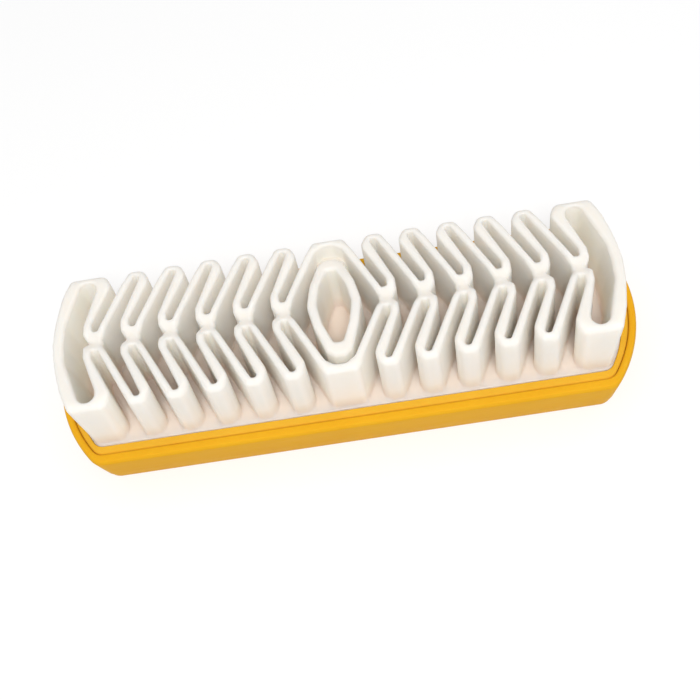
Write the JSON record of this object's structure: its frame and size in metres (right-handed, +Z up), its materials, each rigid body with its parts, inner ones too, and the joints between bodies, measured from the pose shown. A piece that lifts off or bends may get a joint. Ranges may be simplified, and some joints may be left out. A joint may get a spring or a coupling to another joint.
{
  "type": "suede brush",
  "caption": "Suede brush: a white rubber head of winding chevron fins round a central lozenge, held by a carrier that snaps into a shallow yellow tray used as the grip.",
  "frame": {"origin": "centre of the tray's flat back, where it rests on a table", "axes": "+X along the brush's length, +Y across it, +Z up from the back of the tray to the tops of the fins"},
  "size_m": [0.125, 0.042, 0.027],
  "materials": {
    "yellow_shell": "moulded satin gloss",
    "yellow_carrier": "moulded satin gloss",
    "white_rubber": "soft matt"
  },
  "bodies": {
    "root": {"outer_shell": "yellow_shell", "carrier_insert": "yellow_carrier", "rubber_head": "white_rubber"}
  },
  "joints": []
}
